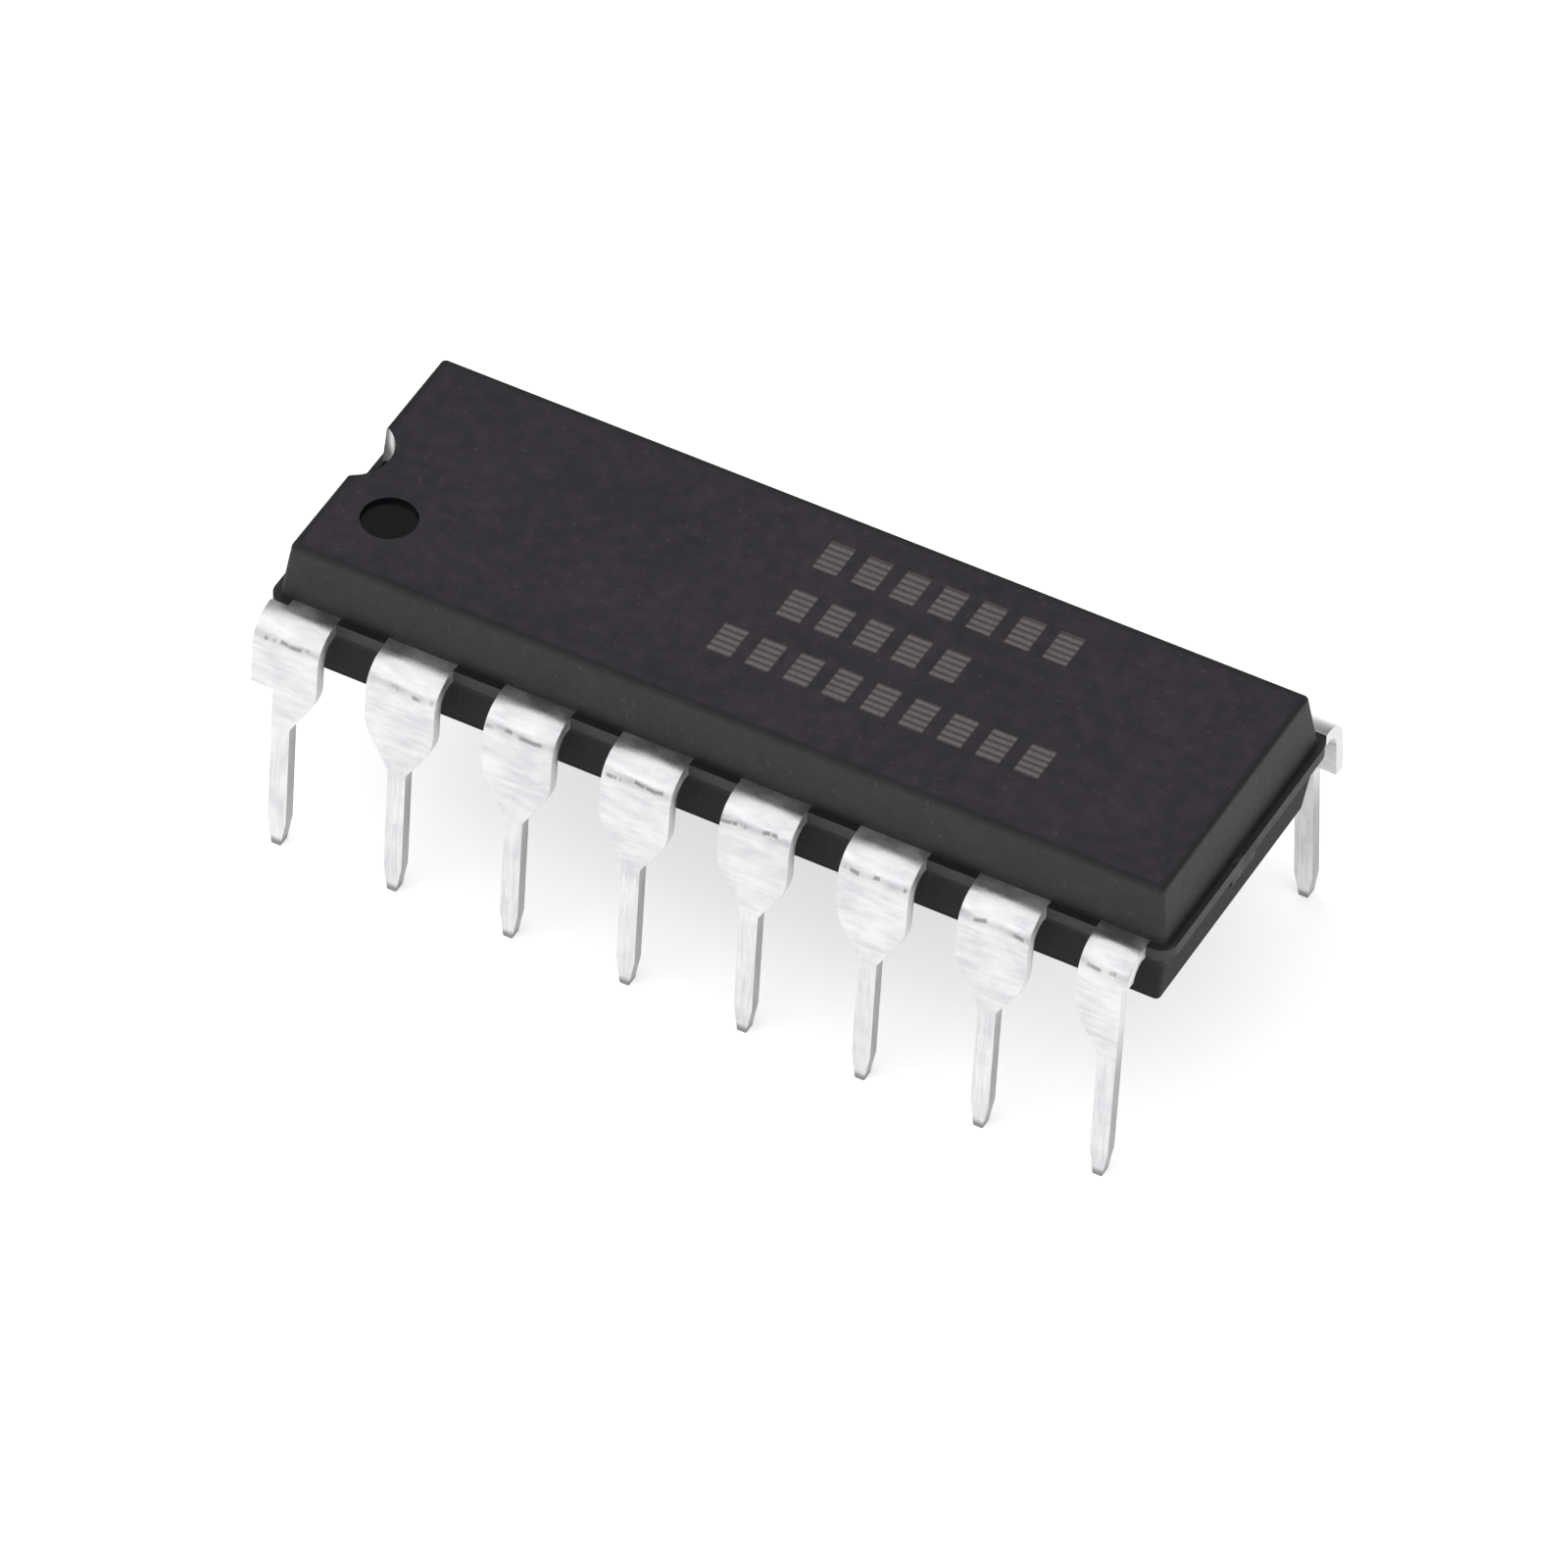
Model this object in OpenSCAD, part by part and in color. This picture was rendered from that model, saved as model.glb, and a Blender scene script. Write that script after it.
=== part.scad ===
// Sixteen-lead dual in-line package, a plastic-bodied integrated circuit.
// It stands on its lead tips: z = 0 is the tip plane, and the origin is the middle of the footprint.
// Leads 1 to 8 run along the -Y side from -X to +X, and 9 to 16 come back along the +Y side.

/* [Body] */
// Length over the parting-line ledge
body_l = 19.36; // [18.9:0.02:20]
// Width over the parting-line ledge
body_w = 6.6; // [6.3:0.05:6.8]
// Height of moulding above the leadframe
upper_h = 1.24; // [1:0.02:1.4]
// Height of moulding below the leadframe
lower_h = 1.45; // [1.2:0.05:1.8]
// Draft angle of the walls, for release from the mould
draft = 7.5; // [4:0.5:9]
// How far the ledge stands out from the foot of the upper wall
ledge_upper = 0.18; // [0.1:0.01:0.24]
// How far the ledge stands out from the head of the lower wall
ledge_lower = 0.17; // [0.08:0.01:0.24]
// Radius of the four upright corners between the walls
corner_r = 0.1; // [0.05:0.01:0.2]
// Radius of the four corners of the ledge
ledge_r = 0.36; // [0.2:0.01:0.45]
// Rounding of the top and bottom edges
edge_r = 0.06; // [0.04:0.01:0.12]

/* [Moulded marks] */
// Radius of the half-round notch in the lead 1 end
notch_r = 0.83; // [0.6:0.01:1]
// How deep the notch bites into the top edge
notch_depth = 0.49; // [0.3:0.01:0.6]
// Thickness left under the notch, over the leadframe
notch_floor = 0.14; // [0.1:0.01:0.3]
// Diameter of the dimple beside lead 1
dimple_d = 1.14; // [0.8:0.02:1.4]
// Depth of the dimple
dimple_depth = 0.1; // [0.05:0.01:0.2]
// Distance from the end of the top face to the dimple's centre
dimple_from_end = 1.27; // [1:0.01:1.6]
// Distance from the side of the top face to the dimple's centre
dimple_from_side = 1.56; // [1:0.02:2]
// Diameter of the ejector pin marks under the body
ejector_d = 1.6; // [1:0.1:2.4]
// Depth of the ejector pin marks
ejector_depth = 0.06; // [0.03:0.01:0.12]
// Distance between the two ejector pin marks
ejector_span = 11.4; // [9:0.1:13]
// Width of the broken-off gate below the ledge at the far end
gate_w = 0.95; // [0.6:0.05:1.4]
// Height of the broken-off gate
gate_h = 0.16; // [0.1:0.02:0.3]
// How far the gate lies off the centre line
gate_offset = -0.27; // [-0.6:0.01:0.6]

/* [Leads] */
// Distance from one lead to the next
lead_pitch = 2.54; // [2.5:0.01:2.6]
// Thickness of the leadframe strip
lead_t = 0.27; // [0.2:0.01:0.32]
// Width over the outer faces of the two lead rows, just under the bend
shoulder_span = 8.06; // [7.9:0.02:8.4]
// Inner radius of the bend
bend_r = 0.38; // [0.25:0.01:0.45]
// Outward lean of the legs, in degrees
splay = 4; // [0:0.5:8]
// Width of the lead over its shoulder
shoulder_w = 1.5; // [1.2:0.02:1.7]
// Width of the narrow leg
leg_w = 0.4; // [0.36:0.01:0.5]
// Length of the narrow leg, tip to neck
leg_l = 2.98; // [2.6:0.02:3.4]
// Height of the tapered part between leg and shoulder
taper_h = 0.92; // [0.6:0.02:1.1]
// Rounding where the shoulder meets its taper
taper_r = 1; // [0.4:0.05:1.2]
// Clear height from the necks to the underside of the body
standoff = 0.65; // [0.5:0.01:1]
// Height of the square cut in the first lead of a row, measured up from the neck
corner_cut_h = 0.87; // [0.7:0.01:1.1]
// Width of the first lead of a row outside its centre line, above its cut
first_half_w = 0.68; // [0.3:0.02:0.74]
// Height of the square cut in the last lead of a row, measured up from the neck
last_cut_h = 1.8; // [0.7:0.01:1.9]
// Width of the last lead of a row outside its centre line, above its cut, and of both inside the body
last_half_w = 0.3; // [0.26:0.02:0.5]
// Length of the pointed end of the leg
point_l = 0.62; // [0.4:0.02:0.8]
// Width of the flat at the very tip
point_w = 0.2; // [0.12:0.01:0.26]

/* [Leadframe inside the body] */
// Width of the fingers that run to the die
finger_w = 0.36; // [0.26:0.01:0.4]
// Space between neighbouring fingers, and between fingers and tie bar
finger_gap = 0.2; // [0.15:0.01:0.24]
// Space between the finger tips and the die pad
tip_gap = 0.25; // [0.2:0.01:0.4]
// Distance between neighbouring finger tips along the side of the die pad
tip_pitch = 1.4; // [1.2:0.05:1.5]
// How far the wide part of a lead runs into the body
anchor_l = 1; // [0.9:0.01:1.1]
// Diameter of the hole that locks each lead into the moulding
lock_d = 0.44; // [0.3:0.02:0.5]
// Length of the die pad
pad_l = 4.8; // [4:0.1:5.6]
// Width of the die pad
pad_w = 2.5; // [2.2:0.05:2.6]
// Width of the tie bars that hold the die pad
tie_w = 0.5; // [0.4:0.02:0.6]

/* [Die and wires] */
// Length of the silicon die
die_l = 2.4; // [2:0.05:3]
// Width of the silicon die
die_w = 1.8; // [1.5:0.05:2]
// Thickness of the silicon die
die_h = 0.28; // [0.2:0.01:0.32]
// Thickness of the adhesive under the die
attach_h = 0.03; // [0.02:0.01:0.05]
// How far the adhesive squeezes out past the die
attach_lip = 0.06; // [0.04:0.01:0.1]
// Diameter of the bond wires
wire_d = 0.04; // [0.03:0.01:0.06]
// Height of the handle that pulls a wire's curve up, above each of its two bonds
wire_loop = 0.42; // [0.3:0.02:0.5]
// How far along the wire its slope down to the finger begins, as a share of its length
wire_slope = 0.3; // [0.2:0.05:0.5]
// Distance of the wire bonds from the edge of the die
bond_inset = 0.12; // [0.1:0.01:0.2]
// Distance of the wire bonds from the end of a finger
bond_back = 0.18; // [0.12:0.01:0.3]

/* [Hidden] */
row_leads = 8;
end_fingers = 2;
leads = 2 * row_leads;
function two_digits(n) = n < 10 ? str("0", n) : str(n);
function lead_name(n) = str("lead_", two_digits(n));
function wire_name(n) = str("bond_wire_", two_digits(n));

neck_z = leg_l;
body_z = neck_z + standoff;
frame_z = body_z + lower_h;
frame_top = frame_z + lead_t;
top_z = frame_top + upper_h;
die_z = frame_top + attach_h;
die_top = die_z + die_h;
upper_inset = upper_h * tan(draft);
lower_inset = lower_h * tan(draft);
top_l = body_l - 2 * (ledge_upper + upper_inset);
top_w = body_w - 2 * (ledge_upper + upper_inset);
bend_y = shoulder_span / 2 - lead_t - bend_r;
bend_z = frame_z - bend_r;
// Where the leads leave the moulding, or where they bend if that is nearer the middle.
foot_y = min(body_w / 2, bend_y);
knee_y = foot_y - anchor_l;
cut = 0.5;
round_fn = 32;
fine_fn = 64;
wire_steps = 10;
wire_sides = 8;

function lead_x(n) = (n - (row_leads + 1) / 2) * lead_pitch;
function inward(n) = lead_x(n) < 0 ? 1 : -1;
function from_end(n) = min(n, row_leads + 1 - n) - 1;
function row_place(n) = n > row_leads ? n - row_leads : n;

// Half-width of the lanes in which the end fingers pass the tie bar, counted from the tie bar.
function lane_y(k) = tie_w / 2 + finger_gap + finger_w / 2 + k * (finger_gap + finger_w);

// Centre line of a finger in the -Y row, from inside its shoulder to its tip by the die pad.
// End fingers run in lanes to the end of the pad, and the others to its long side.
function finger_path(n) =
    let (x = lead_x(n), s = inward(n), k = from_end(n), lane = lane_y(k), side = pad_w / 2 + tip_gap)
    k < end_fingers
        ? [[x, -knee_y - anchor_l / 2], [x, -knee_y + finger_gap],
           [x + s * (knee_y - finger_gap - lane), -lane],
           [-s * (pad_l / 2 + tip_gap), -lane]]
        : let (tip_x = tip_pitch * x / lead_pitch)
          [[x, -knee_y - anchor_l / 2], [x, -knee_y], [tip_x, -side - finger_w / 2], [tip_x, -side]];

function unit(v) = v / norm(v);
function left_of(v) = [-v.y, v.x];
// Point beside corner i of a path, at distance d to its left, on the mitre of its two stretches.
function beside(path, i, d) =
    let (last = len(path) - 1,
         a = unit(path[max(i, 1)] - path[max(i, 1) - 1]),
         b = unit(path[min(i + 1, last)] - path[min(i + 1, last) - 1]),
         m = unit(left_of(a) + left_of(b)))
    path[i] + m * d / (m * left_of(a));
function strip(path, w) = concat(
    [for (i = [0:len(path) - 1]) beside(path, i, w / 2)],
    [for (i = [len(path) - 1:-1:0]) beside(path, i, -w / 2)]
);

// Places of a wire's two bonds in the -Y row: on the die, and on its finger.
function die_bond(n) =
    let (s = inward(n), k = from_end(n))
    k < end_fingers
        ? [-s * (die_l / 2 - bond_inset), -lane_y(k) * (die_w / 2 - bond_inset) / lane_y(end_fingers - 1)]
        : [lead_x(n) * (die_l / 2 - 2 * bond_inset) / lead_x(row_leads + 1 - end_fingers - 1),
           -die_w / 2 + bond_inset];
function finger_bond(n) =
    let (path = finger_path(n), last = len(path) - 1)
    path[last] - unit(path[last] - path[last - 1]) * bond_back;

// A slab with rounded upright corners, centred on the origin.
module rounded_slab(length, width, height, r) {
    linear_extrude(height) {
        square([length - 2 * r, width], center = true);
        square([length, width - 2 * r], center = true);
        for (x = [-1, 1], y = [-1, 1])
            translate([x * (length / 2 - r), y * (width / 2 - r)]) circle(r, $fn = round_fn);
    }
}

// One half of the moulding, growing upward: drafted walls and a rounded far edge.
// It starts inside the ledge, at a depth of `sunk` below its own foot.
module shell_half(height, ledge, sunk) {
    thin = 0.001;
    module level(z, inset) {
        translate([0, 0, z - thin])
            rounded_slab(body_l - 2 * inset, body_w - 2 * inset, thin, corner_r);
    }
    hull() {
        level(-sunk + thin, ledge - sunk * tan(draft));
        for (a = [0:30:90])
            level(height - edge_r * (1 - sin(a)),
                  ledge + (height - edge_r * (1 - sin(a))) * tan(draft) + edge_r * (1 - cos(a)));
    }
}

module body_outside() {
    translate([0, 0, frame_z]) rounded_slab(body_l, body_w, lead_t, ledge_r);
    translate([0, 0, frame_top]) shell_half(upper_h, ledge_upper, lead_t / 2);
    translate([0, 0, frame_z]) mirror([0, 0, 1]) shell_half(lower_h, ledge_lower, lead_t / 2);
    // The gate, broken off flush with the ledge.
    translate([body_l / 2 - 2 * ledge_lower, gate_offset - gate_w / 2, frame_z - gate_h])
        cube([2 * ledge_lower, gate_w, gate_h + lead_t / 2]);
}

module body_marks() {
    translate([-top_l / 2 + notch_depth - notch_r, 0, frame_top + notch_floor])
        cylinder(h = upper_h + cut, r = notch_r, $fn = fine_fn);
    translate([-top_l / 2 + dimple_from_end, -top_w / 2 + dimple_from_side, top_z - dimple_depth])
        cylinder(h = dimple_depth + cut, d = dimple_d, $fn = fine_fn);
    for (x = [-1, 1])
        translate([x * ejector_span / 2, 0, body_z - cut])
            cylinder(h = ejector_depth + cut, d = ejector_d, $fn = fine_fn);
}

module body() {
    color("#37343a") difference() {
        body_outside();
        body_marks();
        for (n = [1:leads]) lead(n);
        die_pad();
        die_attach();
        die();
        for (n = [1:leads]) bond_wire(n);
    }
}

// Side view of a lead, in its own Y and Z: flat arm, bend and leaning leg, as one even strip.
module lead_side() {
    leg = bend_z / cos(splay) + lead_t;
    translate([bend_y, bend_z]) {
        translate([-anchor_l - bend_y + knee_y, bend_r]) square([bend_y - knee_y + anchor_l, lead_t]);
        intersection() {
            difference() {
                circle(bend_r + lead_t, $fn = fine_fn);
                circle(bend_r, $fn = fine_fn);
            }
            reach = 2 * (bend_r + lead_t);
            polygon([[0, 0], [0, reach], [reach, reach],
                     [reach * cos(splay), reach * sin(splay)]]);
        }
        rotate(splay) translate([bend_r, -leg]) square([lead_t, leg]);
    }
}

// Front view of lead n, in its own X and Z. A corner lead is cut square on its outer side, at -X.
module lead_front(n) {
    half = shoulder_w / 2;
    leg = leg_w / 2;
    top = frame_top + cut;
    lean = atan2(half - leg, taper_h);
    corner_z = neck_z + taper_h;
    cut_z = neck_z + (n == 1 ? corner_cut_h : last_cut_h);
    outer_half = n == 1 ? first_half_w : last_half_w;
    module half_front(out, neck, shoulder)
        polygon([[0, 0], [point_w / 2, 0], [leg, point_l], [leg, neck],
                 [out, shoulder], [out, top], [0, top]]);
    module taper_corner() {
        // What the rounding takes off the corner between shoulder and taper.
        back = taper_r * tan(lean / 2);
        difference() {
            polygon([[half + cut, corner_z - back], [half, corner_z - back], [half, corner_z + back],
                     [half + cut, corner_z + back]]);
            translate([half - taper_r, corner_z + back]) circle(taper_r, $fn = fine_fn);
        }
        difference() {
            polygon([[half, corner_z + back], [half, corner_z],
                     [half - back * sin(lean), corner_z - back * cos(lean)]]);
            translate([half - taper_r, corner_z + back]) circle(taper_r, $fn = fine_fn);
        }
    }
    module tapered_half() difference() {
        half_front(half, neck_z, corner_z);
        taper_corner();
    }
    tapered_half();
    mirror([1, 0])
        if (from_end(n) == 0) half_front(outer_half, cut_z, cut_z);
        else tapered_half();
}

// The flat part of a lead inside the body, and the hole that locks it there.
module lead_inside(n) {
    outer_half = from_end(n) == 0 ? last_half_w : shoulder_w / 2;
    left = inward(n) > 0 ? outer_half : shoulder_w / 2;
    right = inward(n) > 0 ? shoulder_w / 2 : outer_half;
    translate([0, 0, frame_z]) linear_extrude(lead_t) difference() {
        union() {
            translate([lead_x(n) - left, -foot_y - bend_r / 4])
                square([left + right, anchor_l + bend_r / 4]);
            polygon(strip(finger_path(n), finger_w));
        }
        translate([lead_x(n) + (right - left) / 2, -foot_y + anchor_l / 2])
            circle(d = lock_d, $fn = round_fn);
    }
}

// The part of lead n outside the body.
module lead_outside(n) {
    translate([lead_x(n), 0, 0]) mirror([inward(n) > 0 ? 0 : 1, 0, 0]) intersection() {
        rotate([90, 0, -90]) translate([0, 0, -shoulder_w])
            linear_extrude(2 * shoulder_w) difference() {
                lead_side();
                translate([-cut, 0]) square([foot_y + cut, top_z]);
                translate([0, -2 * cut]) square([shoulder_span, 2 * cut]);
            }
        rotate([90, 0, 0]) linear_extrude(shoulder_span) lead_front(n);
    }
}

// Leads 1 to 8, and the same row turned half round as 9 to 16.
module lead(n) {
    color("#d9d9dc") rotate(n > row_leads ? 180 : 0) {
        lead_inside(row_place(n));
        lead_outside(row_place(n));
    }
}

module die_pad() {
    color("#c98f62") translate([0, 0, frame_z]) linear_extrude(lead_t) {
        square([pad_l, pad_w], center = true);
        square([body_l, tie_w], center = true);
    }
}

module die_attach() {
    color("#bfc3c9") translate([0, 0, frame_top]) linear_extrude(attach_h)
        square([die_l + 2 * attach_lip, die_w + 2 * attach_lip], center = true);
}

module die() {
    color("#5b6472") translate([0, 0, die_z]) linear_extrude(die_h)
        square([die_l, die_w], center = true);
}

// Centre line of wire n, from the die to its finger: it rises straight, arches over and slopes down.
function wire_curve(n) =
    let (a = die_bond(n), b = finger_bond(n), rise = die_top + wire_loop, drop = frame_top + wire_loop)
    let (p0 = [a.x, a.y, die_top], p1 = [a.x, a.y, rise],
         p2 = [b.x + (a.x - b.x) * wire_slope, b.y + (a.y - b.y) * wire_slope, drop],
         p3 = [b.x, b.y, frame_top])
    [for (i = [0:wire_steps]) let (t = i / wire_steps, u = 1 - t)
        u * u * u * p0 + 3 * u * u * t * p1 + 3 * u * t * t * p2 + t * t * t * p3];

// A round wire along wire_curve. Its first and last rings lie flat on the die and on the finger.
module bond_wire(n) {
    c = wire_curve(row_place(n));
    run = unit([for (i = [0:1]) c[wire_steps][i] - c[0][i]]);
    side = [-run.y, run.x, 0];
    heading = [for (i = [0:wire_steps])
        i == 0 ? [0, 0, 1] : unit(c[min(i + 1, wire_steps)] - c[i - 1])];
    over = [for (i = [0:wire_steps]) let (v = cross(heading[i], side))
        i == wire_steps ? v - heading[i] * v.z / heading[i].z : v];
    rings = [for (i = [0:wire_steps], k = [0:wire_sides - 1]) let (a = 360 * k / wire_sides)
        c[i] + (side * cos(a) + over[i] * sin(a)) * wire_d / 2];
    function at(i, k) = i * wire_sides + k % wire_sides;
    faces = concat(
        [[for (k = [0:wire_sides - 1]) at(0, k)]],
        [for (i = [0:wire_steps - 1], k = [0:wire_sides - 1]) [at(i, k), at(i + 1, k), at(i + 1, k + 1)]],
        [for (i = [0:wire_steps - 1], k = [0:wire_sides - 1]) [at(i, k), at(i + 1, k + 1), at(i, k + 1)]],
        [[for (k = [wire_sides - 1:-1:0]) at(wire_steps, k)]]
    );
    color("#d8b04a") rotate(n > row_leads ? 180 : 0) polyhedron(rings, faces);
}

body();
die_pad();
die_attach();
die();
for (n = [1:leads]) lead(n);
for (n = [1:leads]) bond_wire(n);
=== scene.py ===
# %% [markdown]
# This notebook dresses a packed model of a sixteen-lead dual in-line circuit: a black moulded body on
# a metal leadframe. The packed model already has every piece at its real size, so the first step loads
# it and keeps every piece at that size.

# %% Load the packed model
import math

import bmesh
import bpy
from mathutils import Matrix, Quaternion, Vector


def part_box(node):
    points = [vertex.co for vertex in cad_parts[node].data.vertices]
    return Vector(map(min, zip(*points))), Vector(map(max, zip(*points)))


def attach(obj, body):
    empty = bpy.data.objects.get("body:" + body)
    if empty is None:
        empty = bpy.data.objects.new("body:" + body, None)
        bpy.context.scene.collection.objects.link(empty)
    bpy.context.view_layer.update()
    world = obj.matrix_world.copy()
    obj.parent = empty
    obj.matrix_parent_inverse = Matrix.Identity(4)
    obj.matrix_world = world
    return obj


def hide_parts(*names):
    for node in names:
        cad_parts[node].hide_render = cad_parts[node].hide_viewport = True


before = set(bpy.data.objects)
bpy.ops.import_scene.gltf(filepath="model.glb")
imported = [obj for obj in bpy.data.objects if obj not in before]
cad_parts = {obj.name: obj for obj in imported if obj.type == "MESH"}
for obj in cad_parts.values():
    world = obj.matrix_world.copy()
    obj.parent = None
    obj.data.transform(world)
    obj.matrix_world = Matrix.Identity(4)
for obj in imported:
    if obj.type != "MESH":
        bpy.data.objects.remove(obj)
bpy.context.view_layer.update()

MM = 0.001
BODY = "root"
leads = sorted(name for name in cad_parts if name.startswith("lead_"))
wires = sorted(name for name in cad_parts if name.startswith("bond_wire_"))
print(len(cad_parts), "nodes, of which", len(leads), "are leads and", len(wires), "bond wires")

# %% [markdown]
# The camera comes first, because everything else is judged through it. The photograph is nearly a
# telephoto view: opposite edges of the body stay almost parallel. A long lens from far away gives that.
# The camera is placed by the angles it looks along, and then rolled by the small tilt of the picture.

# %% Camera
AZIMUTH = math.radians(27.685)
ELEVATION = math.radians(45.054)
ROLL = math.radians(1.296)
AIM = Vector((1.858, -3.961, 6.59)) * MM
DISTANCE = 311.2 * MM
LENS_MM = 382.7
SENSOR_MM = 36


def direction(azimuth, elevation):
    """A unit vector towards a place round the object, at an angle from -Y and a height."""
    flat = math.cos(elevation)
    return Vector((math.sin(azimuth) * flat, -math.cos(azimuth) * flat, math.sin(elevation)))


def aim_at(thing, azimuth, elevation, distance, target, roll=0.0):
    """Puts a camera or lamp at a distance from its target and turns it to look there."""
    back = direction(azimuth, elevation)
    thing.location = target + back * distance
    thing.rotation_mode = "QUATERNION"
    turn = (-back).to_track_quat("-Z", "Y")
    thing.rotation_quaternion = turn @ Quaternion((0, 0, 1), roll)


camera_data = bpy.data.cameras.new("camera")
camera_data.lens = LENS_MM
camera_data.sensor_width = SENSOR_MM
camera_data.clip_start = 10 * MM
camera = bpy.data.objects.new("camera", camera_data)
bpy.context.scene.collection.objects.link(camera)
aim_at(camera, AZIMUTH, ELEVATION, DISTANCE, AIM, ROLL)
bpy.context.scene.camera = camera
print("camera at", [round(x / MM, 1) for x in camera.location], "mm")

# %% [markdown]
# Every finish is a graph of shader nodes. Sums on sockets are easier to read as Python expressions than
# as a list of nodes, so one small class wraps a socket and adds a Math node for each operator. Most of
# these sums make masks: values that are 1 in one place, 0 elsewhere, and pass softly between the two.

# %% Sums on sockets
class Value:
    """A socket that can be used in sums."""

    def __init__(self, graph, socket):
        self.graph = graph
        self.socket = socket

    def math(self, operation, *inputs, clamp=False):
        return self.graph.node("Math", {"operation": operation, "use_clamp": clamp}, dict(enumerate(inputs)))

    def __add__(self, other):
        return self.math("ADD", self, other)

    __radd__ = __add__

    def __sub__(self, other):
        return self.math("SUBTRACT", self, other)

    def __rsub__(self, other):
        return self.math("SUBTRACT", other, self)

    def __mul__(self, other):
        return self.math("MULTIPLY", self, other)

    __rmul__ = __mul__

    def __truediv__(self, other):
        return self.math("DIVIDE", self, other)

    def __abs__(self):
        return self.math("ABSOLUTE", self)

    def above(self, edge, soft):
        """1 where the value is over an edge, with a soft step up to it."""
        return self.math("DIVIDE", self - (edge - soft / 2), soft, clamp=True)

    def below(self, edge, soft):
        """1 where the value is under an edge, with a soft step down to it."""
        return self.math("DIVIDE", (edge + soft / 2) - self, soft, clamp=True)

    def highest(self, other):
        return self.math("MAXIMUM", self, other)

    def power(self, exponent):
        return self.math("POWER", self, exponent)

    def fraction(self):
        return self.math("FRACT", self)


print("besides its operators, a Value knows", [name for name in vars(Value) if name[0] != "_"])

# %% [markdown]
# A second class holds the node tree of one material. One method adds any node, and a few others stand
# for the nodes that every finish uses. Places are read from Object coordinates, turned to millimetres,
# so a number in a finish is a length on the real piece.

# %% The graph of a material
class Graph:
    """The shader nodes of one material."""

    def __init__(self, name):
        self.material = bpy.data.materials.new(name)
        self.material.use_nodes = True
        self.tree = self.material.node_tree
        self.tree.nodes.clear()
        here = self.node("TexCoord", output="Object")
        self.place = self.node("VectorMath", {"operation": "SCALE"}, {0: here, "Scale": 1 / MM})
        self.facing = self.node("TexCoord", output="Normal")

    def node(self, kind, settings=None, inputs=None, output=0):
        """Adds a node, gives it its settings and then its inputs, and returns one of its outputs."""
        made = self.tree.nodes.new("ShaderNode" + kind)
        for name, value in (settings or {}).items():
            setattr(made, name, value)
        for name, value in (inputs or {}).items():
            if isinstance(value, Value):
                self.tree.links.new(value.socket, made.inputs[name])
            else:
                made.inputs[name].default_value = value
        return Value(self, made.outputs[output])

    def axes(self, vector=None):
        """X, Y and Z of a vector, or of the place on the piece in millimetres."""
        return [self.node("SeparateXYZ", inputs={0: vector or self.place}, output=i) for i in range(3)]

    def stretched(self, scale):
        """The place with each axis multiplied, so that a pattern runs long where the number is small."""
        return self.node("VectorMath", {"operation": "MULTIPLY"}, {0: self.place, 1: scale})

    def noise(self, scale, detail=2.0, roughness=0.5, place=None):
        """Cloudy noise around 0.5, with a number of spots per millimetre."""
        return self.node("TexNoise", None, {"Vector": place or self.place, "Scale": scale,
                                            "Detail": detail, "Roughness": roughness})

    def spread(self, value, low, high, start=0.0, end=1.0):
        """Stretches a range of a value to another range, and holds it there."""
        return self.node("MapRange", {"clamp": True}, {0: value, 1: low, 2: high, 3: start, 4: end})

    def blend(self, amount, first, second):
        """A mix of two colours."""
        factor, a, b = 0, 6, 7
        colours = {k: v if isinstance(v, Value) else (*v, 1.0) for k, v in ((a, first), (b, second))}
        return self.node("Mix", {"data_type": "RGBA"}, {factor: amount, **colours}, output=2)

    def bump(self, height, depth_mm):
        """A normal for fine relief, whose height of 1 is a depth in millimetres."""
        return self.node("Bump", None, {"Height": height, "Strength": 1.0, "Distance": depth_mm * MM})

    def surface(self, colour, roughness, normal=None, metallic=0.0, **constants):
        """The general surface shader. Constants go on its own sockets."""
        inputs = {"Base Color": colour if isinstance(colour, Value) else (*colour, 1.0),
                  "Roughness": roughness, "Metallic": metallic}
        inputs.update({name.replace("_", " "): value for name, value in constants.items()})
        if normal is not None:
            inputs["Normal"] = normal
        return self.node("BsdfPrincipled", None, inputs)

    def end(self, surface):
        """Makes a shader the material's surface, and returns the material."""
        output = self.tree.nodes.new("ShaderNodeOutputMaterial")
        self.tree.links.new(surface.socket, output.inputs["Surface"])
        return self.material


def dress(piece, material):
    """Gives a piece one material."""
    if not piece.material_slots:
        piece.data.materials.append(material)
    for slot in piece.material_slots:
        slot.link = "OBJECT"
        slot.material = material


print("a Graph can make", [name for name in vars(Graph) if name[0] != "_"])

# %% [markdown]
# The moulding has marks whose places the finishes need: the top face, the band of the parting ledge, the
# dimple and the notch. They are measured on the packed mesh, so that they follow the model. The
# leadframe's height is the die pad's own, and a recess is found by the points that lie on its floor.

# %% Measure the moulded marks
# How far a point may lie from a height that it is looked for at, and how soft the sharpest masks are.
SLACK = 0.01
DIMPLE_DEPTH = 0.1
NOTCH_FLOOR = 0.14
# Where each floor's points are looked for, in X from the notch end.
DIMPLE_REACH = (0.7, 2.5)
NOTCH_REACH = (0.2, 1.0)


def box_mm(node):
    """Lowest and highest corner of a packed node in millimetres."""
    low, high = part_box(node)
    return Vector(low) / MM, Vector(high) / MM


def points_at(height, start=0.0, end=math.inf):
    """The moulding's points at one height, in a range of X from the notch end, in millimetres."""
    points = [v.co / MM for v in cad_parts["body"].data.vertices]
    return [p for p in points if abs(p.z - height) < SLACK and start < p.x - body_low.x < end]


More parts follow.
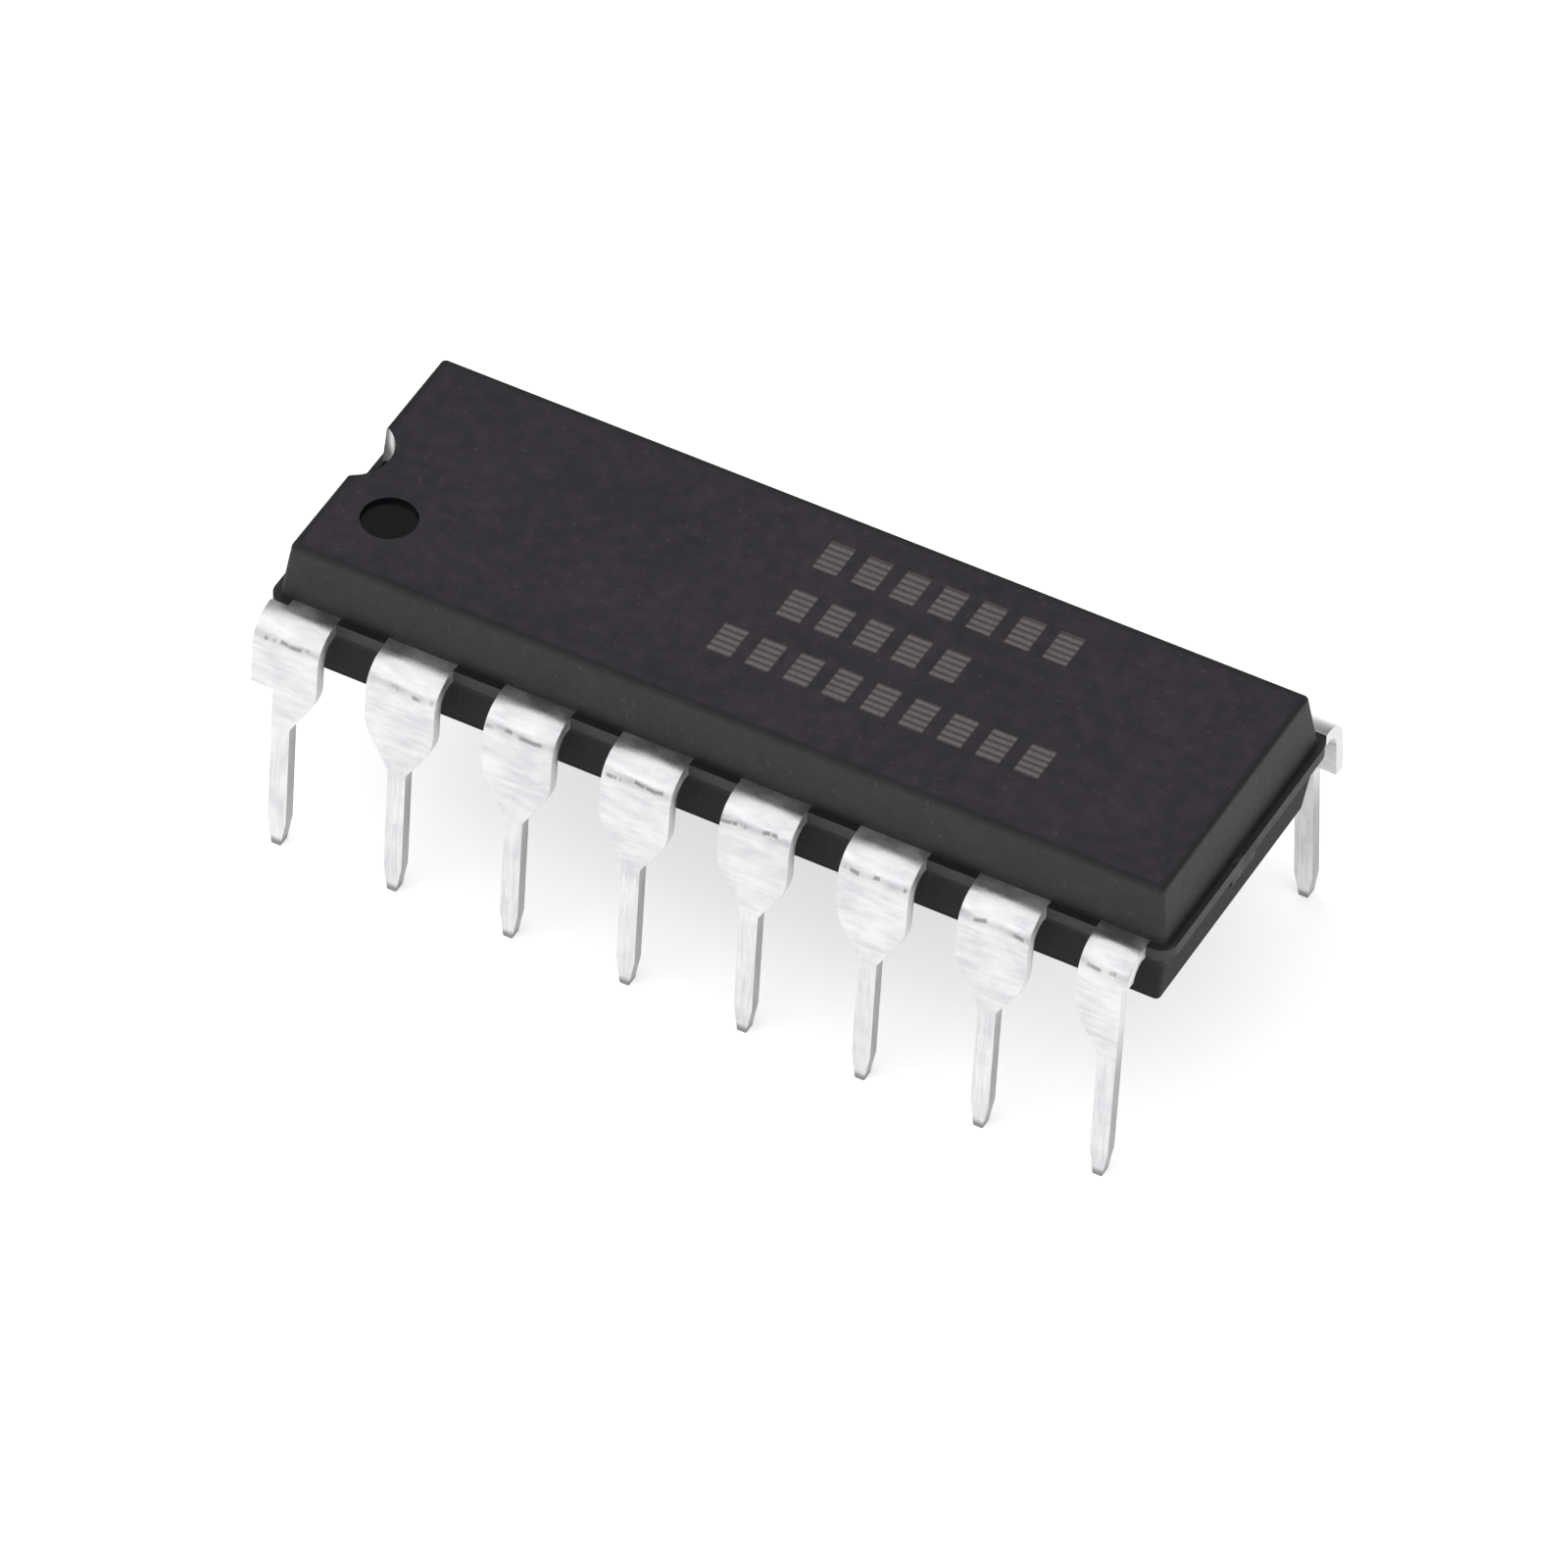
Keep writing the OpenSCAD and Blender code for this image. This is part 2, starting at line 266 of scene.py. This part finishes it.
def round_floor(found):
    """Centre and radius of a round floor, or of one cut off at -X, from the width and depth of its arc."""
    near, far = min(found, key=lambda p: p.y), max(found, key=lambda p: p.y)
    half, depth = (far.y - near.y) / 2, max(p.x for p in found) - far.x
    radius = (half * half + depth * depth) / (2 * depth)
    return max(p.x for p in found) - radius, (near.y + far.y) / 2, radius


body_low, body_high = box_mm("body")
frame_z, frame_top = (corner.z for corner in box_mm("die_pad"))
top_points = points_at(body_high.z)
top_x, top_y = max(p.x for p in top_points), max(p.y for p in top_points)
dimple = round_floor(points_at(body_high.z - DIMPLE_DEPTH, *DIMPLE_REACH))
notch = round_floor(points_at(frame_top + NOTCH_FLOOR, *NOTCH_REACH))
print("body", [round(x, 2) for x in (*body_low, *body_high)], "top face", round(top_x, 2), round(top_y, 2))
print("dimple", [round(x, 2) for x in dimple], "notch", [round(x, 2) for x in notch])

# %% [markdown]
# The top of such a part is marked by a laser, whose beam bleaches the skin in fine lines. The marking
# here is generic: three rows of plain blocks, each block filled with such lines. The fraction of a length
# repeats from 0 to 1, which is how one short sum makes a whole row of blocks.

# %% Print blocks
MARK_PITCH = 0.82
MARK_W = 0.62 * MARK_PITCH
MARK_H = 0.8
MARK_SOFT = 0.03
LINE_PITCH = 0.16
# Rows of the print: centre in Y, first block's centre in X, and number of blocks.
MARK_ROWS = ((1.80, -0.20, 7), (0.33, -0.20, 5), (-1.12, -0.90, 9))


def print_blocks(x, y):
    """1 on the plain blocks of the print, with soft edges."""
    found = None
    for row_y, first_x, count in MARK_ROWS:
        along = (x - (first_x - MARK_PITCH / 2)) / MARK_PITCH
        block = (abs(along.fraction() - 0.5) * MARK_PITCH).below(MARK_W / 2, MARK_SOFT)
        row = abs(y - row_y).below(MARK_H / 2, MARK_SOFT)
        run = abs(along - count / 2).below(count / 2, SLACK)
        row = row * block * run
        found = row if found is None else found.highest(row)
    return found


def print_lines(y):
    """1 on the fine lines that fill the blocks."""
    return abs((y / LINE_PITCH).fraction() - 0.5).above(0.22, 0.2)


print(len(MARK_ROWS), "rows with", sum(count for *place, count in MARK_ROWS), "plain blocks")

# %% [markdown]
# Other masks follow the steel of the mould. The dimple and the notch are polished. The gate, where the
# compound flowed in, is broken off at the +X end under the leadframe and leaves a torn stub. Edges catch
# less light than faces, and the foot of each wall lies in the shade of the step above the ledge.

# %% Masks on the moulding
GATE_Y = -0.27
GATE_HALF_W = 0.475
GATE_H = 0.16
GATE_DEPTH = 0.1
EDGE_LINE = 0.1
FOOT_SHADE_H = 0.4


def inside_recess(x, y, z, recess, top):
    """1 on the wall and the floor of a round recess, up to a height."""
    centre_x, centre_y, radius = recess
    across = ((x - centre_x) * (x - centre_x) + (y - centre_y) * (y - centre_y)).power(0.5)
    return across.below(radius + SLACK, SLACK) * z.below(top, SLACK) * z.above(frame_top, SLACK)


def on_gate(x, y, z):
    """1 on the torn stub of the gate."""
    across = x.above(body_high.x - GATE_DEPTH, SLACK) * abs(y - GATE_Y).below(GATE_HALF_W, 0.06)
    return across * z.above(frame_z - GATE_H, 0.04) * z.below(frame_top + SLACK, SLACK)


def along_edges(x, y, z, flat):
    """1 along the edges of the top face and the lowest edges of the walls."""
    outline = (abs(x) - top_x).highest(abs(y) - top_y)
    top_line = outline.above(-EDGE_LINE, EDGE_LINE) * z.above(body_high.z - EDGE_LINE, EDGE_LINE)
    return top_line.highest(z.below(body_low.z + EDGE_LINE, EDGE_LINE) * (1 - flat))


def foot_shade(graph, z, end):
    """Up to 1 at the foot of the upper walls, and less at the ends of the body."""
    near_foot = graph.spread(z, frame_top, frame_top + FOOT_SHADE_H, 1.0, 0.0)
    shade = near_foot * z.above(frame_top, SLACK) * (1 - end * 0.4)
    return shade * shade * 0.85


print("the gate's stub is", 2 * GATE_HALF_W, "mm wide and starts", GATE_H, "mm under the leadframe")

# %% [markdown]
# The body is a thermoset moulding compound, filled with silica and blackened with carbon. The mould is
# spark-eroded, which leaves a fine matt grain and a surface that looks charcoal and not black. The top and
# the walls have tones of their own, which paint the light on them: the top is painted a shade darker and
# the walls a shade lighter. Where the steel is polished, in the dimple, the notch and on the parting ledge,
# the same compound is nearly black. The top and the upper walls each mix two tones in small blots, so that
# they don't look like flat paint.

# %% Tones of the compound
# The top's tones carry painted shade and the walls' tones painted light, over the compound's own charcoal.
TOP_SKIN_SHADED = (0.0160, 0.0130, 0.0175)
TOP_SKIN_SHADED_PALE = (0.0330, 0.0268, 0.0342)
WALL_SKIN_LIT = (0.0180, 0.0150, 0.0185)
WALL_SKIN_LIT_PALE = (0.0270, 0.0235, 0.0280)
LOWER_SKIN = (0.0240, 0.0215, 0.0235)
# This black is also the colour of the painted shade at the feet of the walls and along the edges.
POLISHED_BLACK_AND_SHADE = (0.0045, 0.0040, 0.0052)
# The ledge's tones paint its light: its flats carry painted shade over their polish, and its outer face and
# ends carry painted light.
LEDGE_BLACK_AND_SHADE = (0.0120, 0.0100, 0.0120)
LEDGE_RIM_LIT = (0.0310, 0.0290, 0.0310)
# A painted highlight: the near-white glint on the far wall of the notch, where it catches the bright floor
# at a grazing angle.
NOTCH_PAINTED_HIGHLIGHT = (0.60, 0.59, 0.60)
GATE_TORN = (0.065, 0.060, 0.060)
MARK_GREY = (0.165, 0.151, 0.144)
print("the skin of the top runs from", TOP_SKIN_SHADED, "to", TOP_SKIN_SHADED_PALE)

# %% [markdown]
# All of this is one material with masks, and not several. The tones are laid over each other, from the
# skin to the marks on it, each through the mask of its place, and the gloss and the relief follow some
# of the same masks. Below the ledge the compound reflects less, so a second shader that differs only in
# that takes over there.

# %% Moulding compound
END_ZONE = 0.45
RIM_FADE_H = 0.4
# How far in from each end the ledge is painted lighter, as painted light.
LEDGE_END_LIGHT_REACH = 0.1
# Which way the notch wall faces where the painted highlight lies, and how far down from the top it reaches.
NOTCH_HIGHLIGHT_FACING = -0.79
NOTCH_HIGHLIGHT_H = 0.45
RELIEF_MM = 0.005


def moulding_compound():
    graph = Graph("moulding_compound")
    x, y, z = graph.axes()
    facing_y, up = graph.axes(graph.facing)[1:]
    clouds = graph.noise(0.5, detail=5, roughness=0.62)
    grain = graph.noise(15, detail=3, roughness=0.7)
    patches = graph.noise(3, detail=3, roughness=0.6)
    specks = graph.noise(9, detail=1).above(0.72, 0.06)
    rubs = graph.noise(2.2, detail=2, place=graph.stretched((0.6, 2.4, 1.0))).above(0.7, 0.1)
    mottle = graph.spread(clouds * 0.25 + patches * 0.45 + grain * 0.3, 0.38, 0.62)

    flat = abs(up).above(0.5, 0.2)
    end = abs(x).above(body_high.x - END_ZONE, 0.1)
    on_top = z.above(body_high.z - EDGE_LINE / 2, EDGE_LINE / 2)
    lower = z.below(frame_z - RIM_FADE_H / 2, RIM_FADE_H)
    in_ledge = abs(z - (frame_z + frame_top) / 2).below((frame_top - frame_z) / 2 + SLACK, SLACK)
    # Painted light: the ledge is lighter towards the ends of the body, and less glossy there.
    lit_ledge_end = end * 0.3 + abs(x).above(body_high.x - LEDGE_END_LIGHT_REACH, 0.04) * 0.6
    in_notch = inside_recess(x, y, z, notch, body_high.z + SLACK)
    recess = inside_recess(x, y, z, dimple, body_high.z - SLACK).highest(in_notch)
    # A painted highlight on the part of the notch wall that faces this way.
    notch_highlight = in_notch * abs(facing_y - NOTCH_HIGHLIGHT_FACING).below(0.07, 0.1) * z.above(body_high.z - NOTCH_HIGHLIGHT_H, 0.3)
    gate = on_gate(x, y, z)
    mark = print_blocks(x, y) * on_top
    lines = print_lines(y)
    polished = (in_ledge * flat * (1 - gate) * (1 - lit_ledge_end) * 0.5).highest(recess)

    # Painted shade on the top and painted light on the upper walls, through their own tones. The rubs are
    # darker streaks on the top.
    top = graph.blend(rubs * 0.3, graph.blend(mottle, TOP_SKIN_SHADED, TOP_SKIN_SHADED_PALE), POLISHED_BLACK_AND_SHADE)
    wall = graph.blend(lower, graph.blend(mottle, WALL_SKIN_LIT, WALL_SKIN_LIT_PALE), LOWER_SKIN)
    colour = graph.blend(specks * 0.12, graph.blend(on_top, wall, top), MARK_GREY)
    bleached = mark * (lines * 0.6 + 0.3) * graph.spread(grain, 0.3, 0.6, 0.6, 1.0)
    colour = graph.blend(bleached, colour, MARK_GREY)
    shade = foot_shade(graph, z, end).highest(along_edges(x, y, z, flat) * 0.6)
    # Painted shade: the feet of the upper walls and the edges are darkened towards polished black.
    colour = graph.blend(shade, colour, POLISHED_BLACK_AND_SHADE)
    # Painted shade on the ledge's flats, and painted light on its outer face and at its ends.
    colour = graph.blend(in_ledge, colour, graph.blend(flat * (1 - lit_ledge_end), LEDGE_RIM_LIT, LEDGE_BLACK_AND_SHADE))
    torn = graph.blend(graph.spread(grain * 0.6 + patches * 0.4, 0.44, 0.58), LEDGE_BLACK_AND_SHADE, GATE_TORN)
    colour = graph.blend(gate, colour, torn)
    colour = graph.blend(recess, colour, POLISHED_BLACK_AND_SHADE)
    # The painted highlight in the notch goes on last.
    colour = graph.blend(notch_highlight, colour, NOTCH_PAINTED_HIGHLIGHT)

    roughness = graph.spread(grain, 0.3, 0.7, 0.5, 0.68) * (1 - polished * 0.72)
    height = (grain + specks * 0.4) * (1 - polished * 0.9) + mark * lines * 0.5
    normal = graph.bump(height, RELIEF_MM)
    satin = graph.surface(colour, roughness, normal, Specular_IOR_Level=0.3)
    dull = graph.surface(colour, roughness, normal, Specular_IOR_Level=0.05)
    return graph.end(graph.node("MixShader", None, {0: lower, 1: satin, 2: dull}))


compound = moulding_compound()
dress(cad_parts["body"], compound)
print("moulding compound on the body, made of", len(compound.node_tree.nodes), "shader nodes")

# %% [markdown]
# The leads are stamped from copper-alloy strip, bent, and plated with tin. Tin is a soft white metal. It
# keeps a row of dents where the bending tool pressed, faint drag marks across the heads, and long ones
# down the legs. The sheared edges are rougher, and so a little darker. Down the legs they are painted much
# darker still, as painted shade, and the tips are painted darker as shade.

# %% Tin plate
TIN = (0.74, 0.73, 0.73)
TIN_DULL = (0.57, 0.56, 0.58)
TIN_EDGE = (0.70, 0.70, 0.70)
# Painted shade: the legs' sheared sides get this dark tone for the shade they reflect from under the body.
TIN_LEG_EDGE_SHADED = (0.34, 0.34, 0.34)
# Painted shade on the lowest part of each tip.
TIN_TIP_SHADED = (0.24, 0.235, 0.225)
DENT_GREY = (0.26, 0.25, 0.25)
DENT_Z = frame_z - 0.06
DENT_HALF_H = 0.035
DENT_WANDER = 0.3
NECK_Z = 2.98
TIP_H = 0.15


def tin_plate():
    graph = Graph("tin_plate")
    z = graph.axes()[2]
    side = abs(graph.axes(graph.facing)[0])
    across = graph.noise(5, detail=4, roughness=0.62, place=graph.stretched((0.3, 1.0, 1.7)))
    along = graph.noise(9, detail=3, roughness=0.6, place=graph.stretched((2.2, 1.0, 0.12)))
    patches = graph.noise(1.6, detail=3)
    wander = graph.noise(0.9, detail=2, place=graph.stretched((1.0, 0.0, 0.0)))
    dashes = graph.noise(3.3, detail=2, roughness=0.6, place=graph.stretched((1.0, 0.2, 0.0)))

    dent_line = abs(z - (DENT_Z + (wander - 0.5) * DENT_WANDER)).below(DENT_HALF_H, 0.03)
    dent = dent_line * dashes.above(0.53, 0.08) * side.below(0.5, 0.2)
    sheared = side.above(0.6, 0.2)
    drag = across + (along - across) * z.below(NECK_Z, 0.6)
    streak = graph.spread(drag * 0.8 + patches * 0.7, 0.58, 0.92)

    colour = graph.blend(streak, TIN_DULL, TIN)
    colour = graph.blend(dent * 0.8, colour, DENT_GREY)
    # Painted shade on the sheared sides, darker below the neck.
    edge = graph.blend(z.above(NECK_Z + 0.2, 1.3), TIN_LEG_EDGE_SHADED, TIN_EDGE)
    colour = graph.blend(sheared * graph.spread(along, 0.3, 0.7, 0.7, 1.0), colour, edge)
    # Painted shade: the lowest part of each tip is darkened.
    colour = graph.blend(z.below(TIP_H, 0.12), colour, TIN_TIP_SHADED)
    roughness = graph.spread(patches, 0.35, 0.65, 0.24, 0.38) + sheared * 0.15
    normal = graph.bump(across * 0.6 + along * 0.4 - dent, RELIEF_MM)
    return graph.end(graph.surface(colour, roughness, normal, metallic=1.0))


tin = tin_plate()
print("tin plate, with dents at", round(DENT_Z, 2), "mm and legs below", NECK_Z, "mm")

# %% [markdown]
# The press that stamps a lead, and the tin over it, leave no edge truly sharp: a thin line of light runs
# along each. The packed leads have sharp edges, so each is copied, its loose triangles are merged into
# whole faces, and every sharp outer edge that stands clear of the moulding gets a small round bevel.
# Bevel makes its width fit the shortest edge that it meets, so outer points that lie closer together
# than the rounding is wide are merged first. The copy takes the packed lead's place.

# %% Round the edges of the leads
EDGE_ROUND = 0.022
SHARP_ANGLE = math.radians(35)
FLAT_ANGLE = math.radians(0.5)
MERGE = 0.0005
OUTER_MERGE = 0.02
CLEAR_OF_BODY = 0.05


def stands_clear(point):
    """Whether a point lies outside the moulding."""
    return abs(point.co.y) / MM > body_high.y + CLEAR_OF_BODY


def rounded_copy(name):
    """A merged copy of a packed node with its outer edges rounded."""
    shape = bmesh.new()
    shape.from_mesh(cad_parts[name].data)
    bmesh.ops.remove_doubles(shape, verts=shape.verts, dist=MERGE * MM)
    bmesh.ops.dissolve_limit(shape, angle_limit=FLAT_ANGLE, verts=shape.verts, edges=shape.edges)
    outer = [v for v in shape.verts if stands_clear(v)]
    bmesh.ops.remove_doubles(shape, verts=outer, dist=OUTER_MERGE * MM)
    sharp = [e for e in shape.edges if e.is_manifold and e.calc_face_angle() > SHARP_ANGLE
             and e.is_convex and all(stands_clear(v) for v in e.verts)]
    bmesh.ops.bevel(shape, geom=sharp, offset=EDGE_ROUND * MM, offset_type="OFFSET", segments=2,
                    profile=0.5, affect="EDGES", material=-1, clamp_overlap=True)
    bmesh.ops.remove_doubles(shape, verts=shape.verts, dist=MERGE * MM)
    mesh = bpy.data.meshes.new(name + "_tinned")
    shape.to_mesh(mesh)
    shape.free()
    return mesh


def smooth_shaded(mesh):
    """Shades a mesh smooth, but for its sharp edges, and drops the normals it was copied with."""
    for old in ("custom_normal", "sharp_edge", "sharp_face"):
        if old in mesh.attributes:
            mesh.attributes.remove(mesh.attributes[old])
    mesh.shade_smooth()
    mesh.set_sharp_from_angle(angle=SHARP_ANGLE)


for name in leads:
    mesh = rounded_copy(name)
    smooth_shaded(mesh)
    lead = bpy.data.objects.new(name + "_tinned", mesh)
    bpy.context.scene.collection.objects.link(lead)
    weighted = lead.modifiers.new("flat_faces_stay_flat", "WEIGHTED_NORMAL")
    weighted.keep_sharp = True
    mesh.materials.clear()
    dress(lead, tin)
    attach(lead, BODY)
    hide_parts(name)
print("rounded", len(leads), "leads, each with about", len(mesh.polygons), "faces")

# %% [markdown]
# Inside the moulding lie the die pad, the silicon die on its adhesive, and the gold wires that join the
# die to the leads. Only the cut ends of the pad's tie bars reach the air, at the ends of the body, where
# they are sheared off with the leadframe and stay dull. The hidden pieces are finished all the same,
# because a part may be taken apart on the screen.

# %% Leadframe and adhesive
CORE = (0.33, 0.25, 0.20)
CORE_DARK = (0.20, 0.15, 0.12)
CUT_END = (0.020, 0.018, 0.017)
CUT_DEPTH = 0.2
SILVER = (0.66, 0.67, 0.69)
SILVER_DARK = (0.42, 0.43, 0.45)


def leadframe_core():
    graph = Graph("leadframe_core")
    x = graph.axes()[0]
    rolled = graph.noise(6, detail=3, place=graph.stretched((0.15, 2.0, 2.0)))
    cut = abs(x).above(body_high.x - CUT_DEPTH, SLACK)
    colour = graph.blend(graph.spread(rolled, 0.35, 0.65), CORE_DARK, CORE)
    colour = graph.blend(cut, colour, CUT_END)
    return graph.end(graph.surface(colour, 0.42 + cut * 0.25, graph.bump(rolled, 0.003), 1 - cut * 0.8))


def silver_epoxy():
    graph = Graph("silver_epoxy")
    flakes = graph.noise(22, detail=4, roughness=0.7)
    colour = graph.blend(graph.spread(flakes, 0.4, 0.6), SILVER_DARK, SILVER)
    roughness = graph.spread(flakes, 0.3, 0.7, 0.35, 0.6)
    return graph.end(graph.surface(colour, roughness, graph.bump(flakes, 0.004), 0.6))


dress(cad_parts["die_pad"], leadframe_core())
dress(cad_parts["die_attach"], silver_epoxy())
print("finished the die pad and its adhesive")

# %% [markdown]
# The face of the die is covered with blocks of circuit, each a slightly different grey by the density of
# its lines. Voronoi cells measured by their longer axis are such blocks. The wires are drawn gold.

# %% Die and bond wires
SILICON_SIDE = (0.14, 0.14, 0.16)
CIRCUIT_DARK = (0.10, 0.13, 0.19)
CIRCUIT_LIGHT = (0.26, 0.24, 0.30)
GOLD_DEEP = (0.93, 0.66, 0.26)
GOLD = (1.0, 0.78, 0.38)


def silicon():
    graph = Graph("silicon")
    cells = graph.node("TexVoronoi", {"distance": "CHEBYCHEV"}, {"Vector": graph.place, "Scale": 2.4},
                       output="Color")
    blocks = graph.node("SeparateColor", inputs={0: cells}, output=0)
    face = graph.axes(graph.facing)[2].above(0.5, 0.2)
    circuit = graph.blend(blocks, CIRCUIT_DARK, CIRCUIT_LIGHT)
    colour = graph.blend(face, SILICON_SIDE, circuit)
    return graph.end(graph.surface(colour, 0.22 + blocks * 0.1, graph.bump(blocks, 0.001), 0.5))


def gold():
    graph = Graph("gold")
    drawn = graph.noise(18, detail=2)
    colour = graph.blend(graph.spread(drawn, 0.35, 0.65), GOLD_DEEP, GOLD)
    roughness = graph.spread(drawn, 0.3, 0.7, 0.16, 0.26)
    return graph.end(graph.surface(colour, roughness, graph.bump(drawn, 0.001), 1.0))


dress(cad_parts["die"], silicon())
bond_gold = gold()
for name in wires:
    dress(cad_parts[name], bond_gold)
print("finished the die and", len(wires), "wires")

# %% [markdown]
# The floor is a light table: a plain pale sheet with a little light of its own, which keeps shadows
# faint and gives the metal something bright to reflect.

# %% Floor
FLOOR_SIZE = 4.0
FLOOR_GLOW = 0.5
FLOOR_PALE = (0.88, 0.88, 0.88)
FLOOR_PALER = (0.90, 0.90, 0.90)


def pale_floor():
    graph = Graph("pale_floor")
    tone = graph.noise(0.02, detail=1)
    colour = graph.blend(graph.spread(tone, 0.3, 0.7), FLOOR_PALE, FLOOR_PALER)
    return graph.end(graph.surface(colour, 0.9, Specular_IOR_Level=0.0,
                                   Emission_Color=(1.0, 1.0, 1.0, 1.0), Emission_Strength=FLOOR_GLOW))


shape = bmesh.new()
bmesh.ops.create_grid(shape, x_segments=1, y_segments=1, size=FLOOR_SIZE / 2)
floor_mesh = bpy.data.meshes.new("floor")
shape.to_mesh(floor_mesh)
shape.free()
floor = bpy.data.objects.new("floor", floor_mesh)
bpy.context.scene.collection.objects.link(floor)
dress(floor, pale_floor())
print("floor", FLOOR_SIZE, "m wide")

# %% [markdown]
# The room is pale near the horizon and darker overhead, so that the top of the body and the dimple stay
# dark while the walls and leads are bright. Two large soft lamps add the shape. Each lamp's power grows
# with its area, so that its size changes how soft the light is and not how bright.

# %% Light
ROOM_COLOUR = (0.98, 0.985, 1.0, 1.0)
# How high a direction points where the room starts and stops to darken, as the Z of a unit vector.
FADE_START = 0.08
FADE_END = 0.75


def softbox(name, azimuth, elevation, distance, size, radiance):
    """A square lamp that looks evenly bright from the object, whatever its size."""
    lamp = bpy.data.lights.new(name, "AREA")
    lamp.size = size
    lamp.energy = radiance * math.pi * size * size
    box = bpy.data.objects.new(name, lamp)
    bpy.context.scene.collection.objects.link(box)
    aim_at(box, math.radians(azimuth), math.radians(elevation), distance, Vector((0, 0, 0)))
    box.visible_camera = False


def studio_room(horizon, overhead):
    """A world that is bright at the horizon and darker overhead."""
    world = bpy.data.worlds.new("studio_room")
    world.use_nodes = True
    nodes, links = world.node_tree.nodes, world.node_tree.links
    heading = nodes.new("ShaderNodeTexCoord")
    parts = nodes.new("ShaderNodeSeparateXYZ")
    fade = nodes.new("ShaderNodeMapRange")
    for number, value in enumerate((FADE_START, FADE_END, horizon, overhead), start=1):
        fade.inputs[number].default_value = value
    links.new(heading.outputs["Generated"], parts.inputs[0])
    links.new(parts.outputs["Z"], fade.inputs[0])
    links.new(fade.outputs[0], nodes["Background"].inputs["Strength"])
    nodes["Background"].inputs["Color"].default_value = ROOM_COLOUR
    return world


bpy.context.scene.world = studio_room(horizon=0.95, overhead=0.25)
softbox("overhead_softbox", azimuth=-35, elevation=62, distance=0.6, size=1.0, radiance=1.1)
softbox("right_softbox", azimuth=80, elevation=28, distance=0.6, size=0.4, radiance=1.1)
bpy.context.scene.view_settings.view_transform = "Standard"
print("a pale room and", len(bpy.data.lights), "softboxes")

# %% [markdown]
